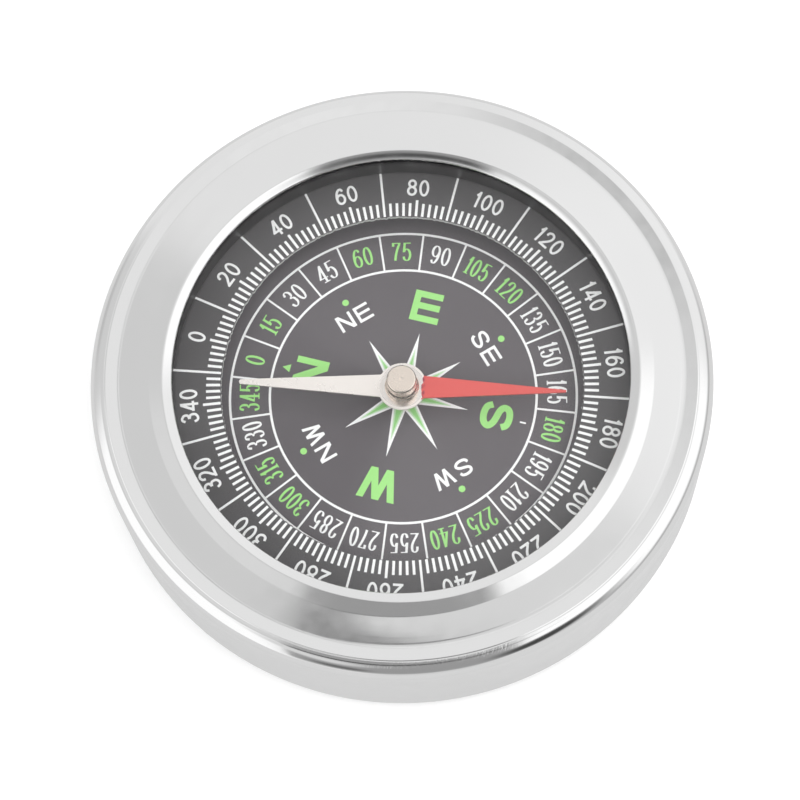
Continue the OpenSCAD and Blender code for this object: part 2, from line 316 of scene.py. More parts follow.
def clearFinish(name, tint, mirrored=0.04):
    # clear polished sheet: mirrors a 25th of what meets it head on and all at a grazing angle
    material = bpy.data.materials.new(name)
    material.use_nodes = True
    tree = material.node_tree
    tree.nodes.remove(tree.nodes["Principled BSDF"])
    place = addNode(tree, "ShaderNodeTexCoord").outputs["Object"]
    waves = bump(tree, noise(tree, place, 60, 1), 0.003)
    through = addNode(tree, "ShaderNodeBsdfTransparent", {"Color": (*tint, 1)})
    mirror = addNode(tree, "ShaderNodeBsdfGlossy", {"Roughness": 0.02, "Normal": waves})
    facing = addNode(tree, "ShaderNodeLayerWeight", {"Blend": 0.5, "Normal": waves}).outputs["Facing"]
    grazing = maths(tree, "MULTIPLY", maths(tree, "POWER", facing, 5), 1 - mirrored)
    share = maths(tree, "ADD", grazing, mirrored)
    mix = addNode(tree, "ShaderNodeMixShader", {0: share, 1: through.outputs[0], 2: mirror.outputs[0]})
    tree.links.new(mix.outputs[0], tree.nodes["Material Output"].inputs["Surface"])
    return material


shoulderRubs = {"from": 35.65, "to": 36.4, "bearing": 202, "half": 15}
bezelSteel = steelFinish("bezel steel", (0.80, 0.80, 0.80), 0.08, 0.13, 0.0004, shoulderRubs, 37.4)
backSteel = steelFinish("back steel", (0.78, 0.78, 0.785), 0.12, 0.20, 0.0005)
dialBlack = paintFinish("dial lacquer", (0.103, 0.092, 0.101), 0.55, 0.03, 0.0001, 700)
ringBlack = paintFinish("ring lacquer", (0.07, 0.066, 0.069), 0.5, 0.04, 0.0002, 1500)
rawEdge = paintFinish("raw cut edge", (0.74, 0.74, 0.73), 0.7, 0.5, 0.01, 5000)
whiteInk = paintFinish("white ink", (0.94, 0.94, 0.94), 0.5, 0.02, 0.0002, 1500)
greenInk = paintFinish("green ink", (0.35, 0.76, 0.225), 0.5, 0.03, 0.0002, 1500)
paleGreenInk = paintFinish("pale green ink", (0.58, 0.8, 0.53), 0.5, 0.05, 0.0002, 1500)
coreGreenInk = paintFinish("core green ink", (0.3, 0.68, 0.22), 0.5, 0.05, 0.0002, 1500)
redPaint = needlePaint("red paint", (0.66, 0.085, 0.075), (0.3, 0.02, 0.05), 0.4)
needleSteel = needleFinish("needle steel", (0.92, 0.865, 0.825), 0.32)
hubNickel = metalFinish("hub nickel", (0.93, 0.82, 0.73), 0.26)
seatBlack = paintFinish("seat plastic", (0.056, 0.054, 0.056), 0.4)
gasketBlack = paintFinish("gasket rubber", (0.008, 0.008, 0.008), 0.5)
housingBlack = paintFinish("housing plastic", (0.02, 0.02, 0.02), 0.5, 0.1, 0.01, 1500)
padFelt = paintFinish("felt", (0.14, 0.14, 0.14), 0.95, 0.3, 0.05, 3000)
brass = metalFinish("brass", (0.80, 0.58, 0.28), 0.25)
pinSteel = metalFinish("pin steel", (0.62, 0.62, 0.64), 0.2)
ruby = paintFinish("jewel", (0.35, 0.01, 0.03), 0.1, 0.03, 0.0, 900)
clearGlass = clearFinish("crystal", (0.994, 0.996, 0.995))
print("finishes made")


# Back: a pressed cup inside the wall, whose middle drops through the rolled foot
back = {"sheet": 0.5, "steps": 384, "arcStep": 4.0,
        "path": [(0, 0), (32.6, 0), (33.1, 0.52), (36.95, 0.52), (36.95, 5.5)],
        "radii": [0, 0.52, 0.05, 2.0, 0]}

backOutside = creasedPath(back["path"], back["radii"], back["arcStep"])
backInside = besidePath(backOutside, back["sheet"])
verts, faces = turned(np.vstack([backOutside, backInside[::-1]]), back["steps"], closed=False)
backPiece = addPiece("case_cup_sheet", verts, faces, [backSteel], "case", "stainless_steel", ["case_cup"], 40)
mergeDoubles(backPiece)
print("back made")


# Bezel: one pressed sheet from the rolled foot up the wall and over the shoulder to the window's edge
bezel = {"sheet": 0.5, "steps": 360, "arcStep": 3.0,
         "path": [(33.3, 0), (37.5, 0), (37.5, 16.31), (35.72, 16.56), (35.6, 16.56), (35.5, 16.6),
                  (33.9, 16.44), (33.45, 16.487), (32.0, 16.6), (30.3, 16.7), (28.6, 17.0), (27.65, 16.7)],
         "radii": [0, 2.5, 1.9, 0.1, 0.1, 0.15, 3.2, 3, 80, 3, 0.8, 0]}

bezelOutside = creasedPath(bezel["path"], bezel["radii"], bezel["arcStep"])
bezelInside = besidePath(bezelOutside, bezel["sheet"])
windowEdge = roundEnd(bezelOutside[-1], bezelInside[-1])
verts, faces = turned(np.vstack([bezelOutside, windowEdge, bezelInside[::-1]]), bezel["steps"])
addPiece("bezel_sheet", verts, faces, [bezelSteel], "case", "stainless_steel", ["bezel"], 50)
print("bezel made")


# Turned rings and discs of the capsule
seat = {"inner": 28.1, "outer": 29.5, "low": 11.15, "high": 14.35, "edge": 0.06, "steps": 360}
dialDisc = {"inner": 1.12, "outer": 29.5, "low": 6.8, "high": 7.3, "edge": 0.06, "steps": 360}


def addRing(name, size, finish, slotName, replaced):
    # a square section with rounded edges, whose path starts and ends halfway up the bore
    inner, outer, low, high = size["inner"], size["outer"], size["low"], size["high"]
    start = (inner, (low + high) / 2)
    corners = [start, (inner, low), (outer, low), (outer, high), (inner, high), start]
    path = creasedPath(corners, [0] + [size["edge"]] * 4 + [0], 45)[:-1]
    verts, faces = turned(path, size["steps"])
    return addPiece(name, verts, faces, [finish], "case", slotName, [replaced], 30)


addRing("crystal_seat_wall", seat, seatBlack, "seat_plastic", "crystal_seat")
addRing("dial_disc", dialDisc, dialBlack, "dial_print", "dial_plate")

# Gasket: a thin black wedge between the crystal and the underside of the lip
gasket = {"inner": 27.6, "crystalTop": 15.85, "gap": 0.02, "outer": 29.3, "lipEnd": 30.5, "points": 40,
          "steps": 360}
underLip = besidePath(bezelOutside, bezel["sheet"] + gasket["gap"])[::-1]
underLip = underLip[(underLip[:, 0] < gasket["lipEnd"]) & (underLip[:, 1] > gasket["crystalTop"])]
reach = np.linspace(gasket["inner"], gasket["outer"], gasket["points"])
height = np.interp(reach, underLip[:, 0], underLip[:, 1])
wedge = np.vstack([[(gasket["inner"], gasket["crystalTop"]), (gasket["outer"], gasket["crystalTop"])],
                   np.stack([reach, height], axis=1)[::-1]])
verts, faces = turned(wedge, gasket["steps"])
addPiece("crystal_gasket_ring", verts, faces, [gasketBlack], "case", "gasket_rubber", ["crystal_gasket"], 30)

# Degree ring: its bore is cut a little raggedly and shows the raw board. The cut's radius varies by
# a sum of sines round the ring, each with a count of waves of its own and a random start.
ring = {"inner": 22.1, "outer": 29.5, "low": 10.65, "high": 11.15, "ragged": 0.035, "steps": 720,
        "sines": 40, "fewestWaves": 31, "moreWaves": 7}
profile = np.array([(ring["inner"], ring["high"]), (ring["inner"], ring["low"]),
                    (ring["outer"], ring["low"]), (ring["outer"], ring["high"])])
verts, faces = turned(profile, ring["steps"])
turns = np.arange(ring["steps"]) * tau / ring["steps"]
waves = np.random.default_rng(4).uniform(0, tau, ring["sines"])
counts = np.arange(ring["sines"]) * ring["moreWaves"] + ring["fewestWaves"]
ragged = np.sin(np.outer(turns, counts) + waves).sum(axis=1) / np.sqrt(ring["sines"] / 2)
for row in (0, 1):
    rim = verts[row * ring["steps"]:(row + 1) * ring["steps"]]
    rim[:, :2] *= (1 + ring["ragged"] * ragged / ring["inner"])[:, None]
faceFinish = np.repeat([1, 0, 0, 0], ring["steps"])
addPiece("degree_ring_board", verts, faces, [ringBlack, rawEdge], "case", "ring_print", ["degree_ring"], 30,
         faceFinish)
print("capsule made")


# Printing: every mark is a strip, given by its left and right edge along the way it is drawn
def stripSlabs(strips, low, high, film=0.002):
    # Four copies of each strip's edges, two at the top and two at the bottom, joined by quads
    # over the top, under the bottom, along both sides and, if it is open, across both ends.
    # Each of six strips in turn lies one film higher, so that strips that cross don't share a face.
    verts, faces, count = [], [], 0
    for k, (left, right, closed) in enumerate(strips):
        n = len(left)
        flat = np.vstack([left, right, left, right])
        top = high + film * (k % 6)
        verts.append(np.column_stack([flat, np.repeat([top, top, low, low], n)]))
        i = np.arange(n if closed else n - 1)
        j = (i + 1) % n
        quads = [(n + i, n + j, j, i), (2 * n + i, 2 * n + j, 3 * n + j, 3 * n + i),
                 (3 * n + i, 3 * n + j, n + j, n + i), (i, j, 2 * n + j, 2 * n + i)]
        quads = [np.stack(q, axis=1) for q in quads]
        if not closed:
            quads.append(np.array([(2 * n, 3 * n, n, 0), (4 * n - 1, 3 * n - 1, n - 1, 2 * n - 1)]))
        faces.append(np.vstack(quads) + count)
        count += 4 * n
    return np.vstack(verts), np.vstack(faces)


def smoothThrough(points, per=7):
    # Catmull-Rom curve: a cubic between each two points, with slopes set by their neighbours
    p = np.asarray(points, dtype=float)
    p = np.vstack([2 * p[0] - p[1], p, 2 * p[-1] - p[-2]])
    a, b, c, d = (q[:, None] for q in (p[:-3], p[1:-2], p[2:-1], p[3:]))
    t = (np.arange(per) / per)[None, :, None]
    curve = 0.5 * (2 * b + (c - a) * t + (2 * a - 5 * b + 4 * c - d) * t**2 + (3 * b - a - 3 * c + d) * t**3)
    return np.vstack([curve.reshape(-1, 2), p[-2:-1]])


def ribbon(path, upright, level, closed=False):
    # Both edges of a line whose width is that of an oval nib: upright where the line runs up,
    # level where it runs across.
    if closed:
        step = np.roll(path, -1, axis=0) - np.roll(path, 1, axis=0)
    else:
        step = np.gradient(path, axis=0)
    step = step / np.linalg.norm(step, axis=1)[:, None]
    half = np.sqrt((upright * step[:, 1]) ** 2 + (level * step[:, 0]) ** 2)[:, None] / 2
    left = np.stack([-step[:, 1], step[:, 0]], axis=1)
    return path + half * left, path - half * left, closed


# Each sign has its width as a share of its height, and strokes between 0 and 1 across its box:
# up (x, from, to), across (y, from, to), lean (x0, y0, x1, y1 with level ends), oval (middle and
# half sizes) and bend (points of a smooth curve).
signs = {
    "0": (0.56, [("oval", 0.5, 0.5, 0.5, 0.5)]),
    "1": (0.34, [("up", 0.75, 0, 1), ("bend", (0.0, 0.74), (0.35, 0.82), (0.72, 0.98))]),
    "2": (0.56, [("bend", (0.03, 0.70), (0.10, 0.90), (0.48, 1.0), (0.88, 0.90), (0.93, 0.66), (0.70, 0.42),
                  (0.28, 0.18), (0.04, 0.0)), ("across", 0, 0, 1)]),
    "3": (0.56, [("bend", (0.03, 0.80), (0.20, 0.97), (0.50, 1.0), (0.87, 0.87), (0.86, 0.64), (0.42, 0.54)),
                 ("bend", (0.42, 0.54), (0.93, 0.45), (0.98, 0.16), (0.60, 0.0), (0.22, 0.03), (0.0, 0.22))]),
    "4": (0.58, [("up", 0.76, 0, 1), ("lean", 0.0, 0.28, 0.78, 1.0), ("across", 0.25, 0, 1)]),
    "5": (0.56, [("across", 1, 0.18, 0.92), ("lean", 0.05, 0.48, 0.2, 1.0),
                 ("bend", (0.05, 0.50), (0.38, 0.65), (0.78, 0.59), (1.0, 0.33), (0.80, 0.06), (0.44, 0.0),
                  (0.14, 0.06), (0.0, 0.22))]),
    "6": (0.56, [("oval", 0.5, 0.31, 0.5, 0.31),
                 ("bend", (0.93, 0.84), (0.72, 0.99), (0.40, 0.97), (0.12, 0.76), (0.0, 0.48), (0.0, 0.31))]),
    "7": (0.54, [("across", 1, 0, 1), ("bend", (1.0, 0.97), (0.68, 0.66), (0.45, 0.33), (0.34, 0.0))]),
    "8": (0.56, [("oval", 0.5, 0.77, 0.42, 0.23), ("oval", 0.5, 0.27, 0.5, 0.27)]),
    "9": (0.56, [("oval", 0.5, 0.69, 0.5, 0.31),
                 ("bend", (0.07, 0.16), (0.28, 0.01), (0.60, 0.03), (0.88, 0.24), (1.0, 0.52), (1.0, 0.69))]),
    "N": (0.93, [("up", 0, 0, 1), ("up", 1, 0, 1), ("lean", 0.0, 1.0, 1.0, 0.0)]),
    "E": (0.90, [("up", 0, 0, 1), ("across", 0, 0, 1), ("across", 0.52, 0, 0.94), ("across", 1, 0, 0.98)]),
    "S": (0.92, [("bend", (0.93, 0.76), (0.80, 0.94), (0.48, 1.0), (0.15, 0.93), (0.05, 0.74), (0.22, 0.58),
                  (0.75, 0.44), (0.97, 0.25), (0.82, 0.06), (0.47, 0.0), (0.14, 0.07), (0.0, 0.27))]),
    "W": (1.18, [("lean", 0.25, 0.0, 0.0, 1.0), ("lean", 0.25, 0.0, 0.5, 1.0), ("lean", 0.75, 0.0, 0.5, 1.0),
                 ("lean", 0.75, 0.0, 1.0, 1.0)]),
}
serifs = {"1": [("across", 0, 0.3, 1.2)], "4": [("across", 0, 0.46, 1.06)], "7": [("up", 0, 0.84, 1)]}


def drawSign(letter, height, upright, level, squeeze=1.0, withSerifs=False):
    # strips of one sign, its box's lower left corner at the origin
    width, strokes = signs[letter]
    width = width * height * squeeze
    strips = []

    def inBox(x, y):
        return np.array([upright / 2 + x * (width - upright), level / 2 + y * (height - level)])

    def edges(a, b, c, d):
        strips.append((np.array([a, b]), np.array([c, d]), False))

    for kind, *s in strokes + (serifs.get(letter, []) if withSerifs else []):
        if kind == "up":
            (x, low), high = inBox(s[0], s[1]), inBox(s[0], s[2])[1]
            low, high, side = low - level / 2, high + level / 2, upright / 2
            edges((x - side, low), (x - side, high), (x + side, low), (x + side, high))
        elif kind == "across":
            (start, y), stop = inBox(s[1], s[0]), inBox(s[2], s[0])[0]
            start, stop, side = start - upright / 2, stop + upright / 2, level / 2
            edges((start, y + side), (stop, y + side), (start, y - side), (stop, y - side))
        elif kind == "lean":
            lean = abs(s[2] - s[0]) * width / (abs(s[3] - s[1]) * height)
            half = np.hypot(upright, level * lean) / 2
            ends = [np.array([half + s[k] * (width - 2 * half), s[k + 1] * height]) for k in (0, 2)]
            low, high = sorted(ends, key=lambda e: e[1])
            edges(low - (half, 0), high - (half, 0), low + (half, 0), high + (half, 0))
        elif kind == "oval":
            t = np.arange(36) * tau / 36
            path = np.stack([s[0] + s[2] * np.cos(t), s[1] + s[3] * np.sin(t)])
            strips.append(ribbon(inBox(*path).T, upright, level, True))
        else:
            strips.append(ribbon(inBox(*smoothThrough(s).T).T, upright, level))
    return strips, width


def writeText(text, height, upright, level, radius, bearing, gap, squeeze=1.0, withSerifs=False):
    # text centred on a bearing, with its top outwards and its middle at the radius
    strips, x = [], 0.0
    for letter in text:
        marks, width = drawSign(letter, height, upright, level, squeeze, withSerifs)
        strips += [(l + (x, 0), r + (x, 0), c) for l, r, c in marks]
        x += width + gap
    shift = np.array([-(x - gap) / 2, radius - height / 2])
    return [(turnTo(l + shift, bearing), turnTo(r + shift, bearing), c) for l, r, c in strips]


def turnTo(points, bearing):
    # turns points clockwise by the bearing, seen from above
    b = radians(bearing)
    x, y = points[:, 0], points[:, 1]
    return np.stack([x * cos(b) + y * sin(b), y * cos(b) - x * sin(b)], axis=1)


def radialMark(r0, r1, w0, w1, bearing):
    # a straight mark from one radius to another, w0 wide at its start and w1 at its end
    left, right = np.array([(-w0 / 2, r0), (-w1 / 2, r1)]), np.array([(w0 / 2, r0), (w1 / 2, r1)])
    return turnTo(left, bearing), turnTo(right, bearing), False


def roundLine(radius, width, n=288):
    t = np.arange(n) * tau / n
    ray = np.stack([np.cos(t), np.sin(t)], axis=1)
    return (radius - width / 2) * ray, (radius + width / 2) * ray, True


def roundDot(radius, size, bearing):
    t = np.linspace(-pi / 2, pi / 2, 14)
    half, y = size * np.maximum(np.cos(t), 0.02), radius + size * np.sin(t)
    return turnTo(np.stack([-half, y], axis=1), bearing), turnTo(np.stack([half, y], axis=1), bearing), False


# Dial printing
dial = {"top": 7.3, "ink": 0.014, "sunk": 0.01, "lineLower": 0.004, "paleHigher": 0.012, "coreHigher": 0.024,
        "innerLine": 16.45, "outerLine": 21.38, "lineWidth": 0.3, "dividerWidth": 0.25,
        "labelStep": 15, "labelRadius": 18.95, "labelHeight": 2.45, "labelThick": 0.30, "labelThin": 0.13,
        "labelGap": 0.22, "labelSqueeze": 0.82, "longSqueeze": 0.74,
        "greenLabels": (0, 15, 60, 75, 105, 120, 180, 225, 240, 300, 315, 345),
        "mainRadius": 11.85, "mainHeight": 4.05, "mainStroke": 0.84,
        "cornerRadius": 11.9, "cornerHeight": 2.2, "cornerStroke": 0.36, "cornerGap": 0.5,
        "dotRadius": 14.14, "dotSize": 0.42, "arrowFrom": 14.43, "arrowTo": 15.4, "arrowWidth": 1.07,
        "tickFrom": 14.8, "tickTo": 15.55, "tickWidth": 0.2,
        "starTip": 8.2, "starFrom": 1.5, "starSpread": 0.26, "point": 0.02,
        "coreFrom": 1.9, "coreWidth": 0.7, "coreTip": 5.2, "corePoint": 0.03, "paleWidth": 1.15,
        "paleTip": 6.1}

white, green = [], []
lines = [roundLine(dial["innerLine"], dial["lineWidth"]), roundLine(dial["outerLine"], dial["lineWidth"])]
for bearing in range(0, 360, dial["labelStep"]):
    white.append(radialMark(dial["innerLine"], dial["outerLine"], dial["dividerWidth"], dial["dividerWidth"],
                            bearing + dial["labelStep"] / 2))
    label = writeText(str(bearing), dial["labelHeight"], dial["labelThick"], dial["labelThin"],
                      dial["labelRadius"], bearing, dial["labelGap"],
                      dial["longSqueeze" if bearing > 99 else "labelSqueeze"], True)
    (green if bearing in dial["greenLabels"] else white).extend(label)
for letter, bearing in (("N", 0), ("E", 90), ("S", 180), ("W", 270)):
    green += writeText(letter, dial["mainHeight"], dial["mainStroke"], dial["mainStroke"], dial["mainRadius"],
                       bearing, 0)
for letters, bearing in (("NE", 45), ("SE", 135), ("SW", 225), ("NW", 315)):
    white += writeText(letters, dial["cornerHeight"], dial["cornerStroke"], dial["cornerStroke"],
                       dial["cornerRadius"], bearing, dial["cornerGap"])
    green.append(roundDot(dial["dotRadius"], dial["dotSize"], bearing))
green.append(radialMark(dial["arrowFrom"], dial["arrowTo"], dial["arrowWidth"], dial["point"], 0))
white.append(radialMark(dial["tickFrom"], dial["tickTo"], dial["tickWidth"], dial["tickWidth"], 180))
starWidth = dial["starSpread"] * (dial["starTip"] - dial["starFrom"])
pale, cores = [], []
for bearing in range(0, 360, 45):
    white.append(radialMark(dial["starFrom"], dial["starTip"], starWidth, dial["point"], bearing))
    pale.append(radialMark(dial["coreFrom"], dial["paleTip"], dial["paleWidth"], dial["corePoint"], bearing))
    cores.append(radialMark(dial["coreFrom"], dial["coreTip"], dial["coreWidth"], dial["corePoint"], bearing))


def printPiece(name, strips, low, high, ink, slotName):
    addPiece(name, *stripSlabs(strips, low, high), [ink], "case", slotName)


inkLow, inkHigh = dial["top"] - dial["sunk"], dial["top"] + dial["ink"]
paleTop, coreTop = inkHigh + dial["paleHigher"], inkHigh + dial["coreHigher"]
printPiece("dial_line_print", lines, inkLow, inkHigh - dial["lineLower"], whiteInk, "dial_print")
printPiece("dial_white_print", white, inkLow, inkHigh, whiteInk, "dial_print")
printPiece("dial_green_print", green, inkLow, inkHigh, greenInk, "dial_print")
printPiece("dial_star_print", pale, dial["top"], paleTop, paleGreenInk, "dial_print")
printPiece("dial_core_print", cores, dial["top"], coreTop, coreGreenInk, "dial_print")

# Degree ring printing: a short tick every 2 degrees, a medium one at each number, a long one between
scale = {"ink": 0.014, "sunk": 0.01, "start": 22.2, "short": 23.94, "medium": 24.37, "long": 28.08,
         "tickStep": 2, "tickWidth": 0.33, "longWidth": 0.29, "numberStep": 20, "numberRadius": 26.05,
         "numberHeight": 2.24, "numberStroke": 0.31, "numberGap": 0.26}
marks = []
for bearing in range(0, 360, scale["tickStep"]):
    past = bearing % scale["numberStep"]
    kind = "long" if past == scale["numberStep"] / 2 else "medium" if past == 0 else "short"
    width = scale["longWidth"] if kind == "long" else scale["tickWidth"]
    marks.append(radialMark(scale["start"], scale[kind], width, width, bearing))
for bearing in range(0, 360, scale["numberStep"]):
    marks += writeText(str(bearing), scale["numberHeight"], scale["numberStroke"], scale["numberStroke"],
                       scale["numberRadius"], bearing, scale["numberGap"])
printPiece("degree_ring_print", marks, ring["high"] - scale["sunk"], ring["high"] + scale["ink"], whiteInk,
           "ring_print")
print("printing made")


# Needle: half widths along its length, with the stem's hole left open
needle = {"low": 10.25, "high": 10.5, "half": 20.0, "middle": 1.6, "disc": 3.0, "bladeFrom": 3.2,
          "plainTip": 0.3, "paintedTip": 0.125, "hole": 1.27, "leastHalf": 0.004, "paintFrom": -2.45,
          "paintFilm": 0.02,
          "paintUnder": 0.004, "ragged": 0.14}
plainEnd = needle["half"] - needle["plainTip"]


def halfWidth(y):
    # the wider of blade and disc at the distance y along the needle; the plain blade ends in a circle
    plain = np.interp(y, [0, plainEnd], [needle["middle"], needle["plainTip"]])
    beyond = np.maximum(y - plainEnd, 0)
    plain = np.where(beyond > 0, np.sqrt(np.maximum(needle["plainTip"] ** 2 - beyond**2, 0)), plain)
    painted = np.interp(-y, [0, needle["half"]], [needle["middle"], needle["paintedTip"]])
    disc = np.sqrt(np.maximum(needle["disc"] ** 2 - y**2, 0))
    return np.maximum(np.where(y > 0, plain, painted), disc)


def turnNeedle(verts):
    # from the needle's own axis to where it rests, anticlockwise from north
    a = radians(needleLook["turn"])
    x, y = verts[:, 0].copy(), verts[:, 1].copy()
    verts[:, 0], verts[:, 1] = x * cos(a) - y * sin(a), x * sin(a) + y * cos(a)
    return verts


halfTurn = np.linspace(-pi / 2, pi / 2, 61)
y = np.unique(np.round(np.concatenate([
    np.linspace(-needle["half"], -needle["bladeFrom"], 40), needle["bladeFrom"] * np.sin(halfTurn),
    needle["hole"] * np.sin(np.linspace(-pi / 2, pi / 2, 25)), np.linspace(needle["bladeFrom"], plainEnd, 40),
    needle["half"] - needle["plainTip"] * (1 - np.sin(np.linspace(0, pi / 2, 10)))]), 5))
outer = np.maximum(halfWidth(y), needle["leastHalf"])
hole = np.sqrt(np.maximum(needle["hole"] ** 2 - y**2, 0))
strips = []
for side in (-1, 1):
    a, b = np.stack([side * outer, y], axis=1), np.stack([side * hole, y], axis=1)
    strips.append((a, b, False) if side < 0 else (b, a, False))
verts, faces = stripSlabs(strips, needle["low"], needle["high"], 0)
# walls along the middle line are left out where there is no hole, so that both halves join
seam = (np.abs(verts[faces][:, :, 0]) < 1e-6).all(axis=1)
steelNeedle = addPiece("needle_blades", turnNeedle(verts), faces[~seam], [needleSteel], "needle_unit",
                       "needle_steel", ["needle"])
mergeDoubles(steelNeedle)

# Paint on one blade: a thin skin over its top and edges, with a ragged start. Its grid runs across the
# blade, from edge to edge, and along it, from the start to the tip, closer together near the start.
across = np.linspace(-1, 1, 25)
along = np.linspace(0, 1, 60) ** 1.4
rng = np.random.default_rng(9)
tears = rng.uniform(-1, 1, 13)
start = needle["paintFrom"] + needle["ragged"] * np.interp(across, np.linspace(-1, 1, len(tears)), tears)
yGrid = start[None] + along[:, None] * (-needle["half"] - start[None])
wide = halfWidth(yGrid) + needle["paintFilm"]
bladeWide = needle["middle"] + needle["paintFilm"]
wide = np.where(yGrid > -needle["disc"], np.minimum(wide, bladeWide), wide)
xGrid = across[None] * wide
rows, cols = xGrid.shape
zGrid = np.full_like(xGrid, needle["high"] + needle["paintFilm"])
top = np.stack([xGrid, yGrid, zGrid], axis=-1).reshape(-1, 3)
bottom = top.copy()
bottom[:, 2] = needle["low"] - needle["paintUnder"]
r, c = np.meshgrid(np.arange(rows - 1), np.arange(cols - 1), indexing="ij")
cell = (r * cols + c).ravel()
topFaces = np.stack([cell + cols, cell + cols + 1, cell + 1, cell], axis=1)
size = rows * cols
border = np.concatenate([np.arange(cols), np.arange(2, rows) * cols - 1,
                         np.arange(size - 1, size - cols - 1, -1), np.arange(rows - 2, 0, -1) * cols])
nextOne = np.roll(border, -1)
sides = np.stack([border, nextOne, nextOne + size, border + size], axis=1)
paintFaces = np.vstack([topFaces, topFaces[:, ::-1] + size, sides])
addPiece("needle_paint", turnNeedle(np.vstack([top, bottom])), paintFaces, [redPaint], "needle_unit",
         "needle_steel", (), 40)

# Hub: a turned drum with a rounded top edge and a faint centre mark
hub = {"radius": 1.81, "low": 10.5, "drumLow": 11.85, "top": 13.3, "edge": 0.25, "stem": 1.25,
       "stemLow": 9.85, "bore": 0.87, "boreTop": 12.8, "dimple": 0.05, "dimpleWide": 0.25, "collar": 2.12,
       "collarHigh": 10.6, "dome": 2.02, "domeHigh": 10.85, "ripple": 1.9, "rippleLow": 10.95,
       "rippleHigh": 11.25,
       "neck": 1.74, "neckLow": 11.45, "neckHigh": 11.7, "steps": 144, "arcStep": 6}
# each corner of the drum, from the bore's top round the outside to the centre mark, and its radius
corners = [(0, hub["boreTop"], 0), (hub["bore"], hub["boreTop"], 0), (hub["bore"], hub["stemLow"], 0),
           (hub["stem"], hub["stemLow"], 0.03), (hub["stem"], hub["low"], 0.02),
           (hub["collar"], hub["low"], 0.02),
           (hub["collar"], hub["collarHigh"], 0.08), (hub["dome"], hub["domeHigh"], 0.2),
           (hub["ripple"], hub["rippleLow"], 0.06), (hub["ripple"], hub["rippleHigh"], 0.1),
           (hub["neck"], hub["neckLow"], 0.1), (hub["neck"], hub["neckHigh"], 0.1),
           (hub["radius"], hub["drumLow"], 0.1), (hub["radius"], hub["top"], hub["edge"]),
           (hub["dimpleWide"], hub["top"], 0.3), (0, hub["top"] - hub["dimple"], 0)]
drum = creasedPath([c[:2] for c in corners], [c[2] for c in corners], hub["arcStep"])
verts, faces = turned(drum, hub["steps"], closed=False)
hubPiece = addPiece("needle_hub_drum", verts, faces, [hubNickel], "needle_unit", "hub_nickel",
                    ["needle_hub"], 35)
mergeDoubles(hubPiece)
print("needle made")


# The pieces that keep their CAD shape
keptFinishes = {"crystal": clearGlass, "ring_spacer": seatBlack, "housing": housingBlack,
                "backing_pad": padFelt, "pivot_bush": brass, "bush_washer": brass, "pivot_pin": pinSteel,
                "jewel": ruby, "clinch_ring": hubNickel}
for nodeName, finish in keptFinishes.items():
    cadNodes[nodeName].data.materials.clear()
    cadNodes[nodeName].data.materials.append(finish)


# Studio
studio = {"azimuth": -69.6, "floor": 1.5, "floorTone": 0.95, "seenGlow": 0.1, "mirroredTone": 0.66,
          "mirroredShare": 0.75}

floorMesh = bpy.data.meshes.new("floor")
s = studio["floor"]
floorMesh.from_pydata([(-s, -s, 0), (s, -s, 0), (s, s, 0), (-s, s, 0)], [], [(0, 1, 2, 3)])
floorPiece = bpy.data.objects.new("floor", floorMesh)
bpy.context.collection.objects.link(floorPiece)
floorPaint = bpy.data.materials.new("floor paint")
floorPaint.use_nodes = True
tree = floorPaint.node_tree
shader = tree.nodes["Principled BSDF"]
shader.inputs["Base Color"].default_value = (*[studio["floorTone"]] * 3, 1)
shader.inputs["Roughness"].default_value = 0.9
rays = addNode(tree, "ShaderNodeLightPath").outputs
seen = maths(tree, "MULTIPLY", rays["Is Camera Ray"], studio["seenGlow"])
glow = addNode(tree, "ShaderNodeEmission", {"Color": (1, 1, 1, 1), "Strength": seen})
mix = addNode(tree, "ShaderNodeAddShader", {0: shader.outputs[0], 1: glow.outputs[0]})
grey = addNode(tree, "ShaderNodeEmission", {"Color": (1, 1, 1, 1), "Strength": studio["mirroredTone"]})
mirrored = maths(tree, "MAXIMUM", rays["Is Glossy Ray"], rays["Is Transmission Ray"])
mirrored = maths(tree, "MULTIPLY", mirrored, studio["mirroredShare"])
mix = addNode(tree, "ShaderNodeMixShader", {0: mirrored, 1: mix.outputs[0], 2: grey.outputs[0]})
tree.links.new(mix.outputs[0], tree.nodes["Material Output"].inputs["Surface"])
floorMesh.materials.append(floorPaint)

# The room as the steel mirrors it. Bearings and reaches are in degrees, round and from the point
# that a level mirror shows the camera, which lies 19 degrees from straight up; bearing 0 is on the
# camera's right. Each panel is painted over the ones before it and ends softly.
room = {"mirrorLean": 19, "ceiling": 0.93, "shadeTone": 0.27, "slopeTone": 0.38, "shadeFrom": 241.5,
        "shadeNear": 253, "shadeWide": 287, "bend": 265, "flapTone": 0.4, "darkTone": 0.07,
        "cornerTone": 0.17}
world = bpy.data.worlds.new("studio room")
bpy.context.scene.world = world
world.use_nodes = True
tree = world.node_tree
background = tree.nodes["Background"]
way = addNode(tree, "ShaderNodeTexCoord").outputs["Generated"]
way = remapped(tree, way, (0, 0, radians(-studio["azimuth"])))
up = coordinates(tree, way)["Z"]
flatWay = vectorMaths(tree, "MULTIPLY", way, (1, 1, 0))
flatLength = vectorMaths(tree, "LENGTH", flatWay, output="Value")
lean = maths(tree, "MULTIPLY", maths(tree, "ARCTAN2", flatLength, up), degrees(1))
flatWay = vectorMaths(tree, "NORMALIZE", flatWay)
plane = addNode(tree, "ShaderNodeVectorMath", {0: flatWay, "Scale": lean}, operation="SCALE").outputs[0]
fromMirror = vectorMaths(tree, "ADD", plane, (0, -room["mirrorLean"], 0))
reach = vectorMaths(tree, "LENGTH", fromMirror, output="Value")


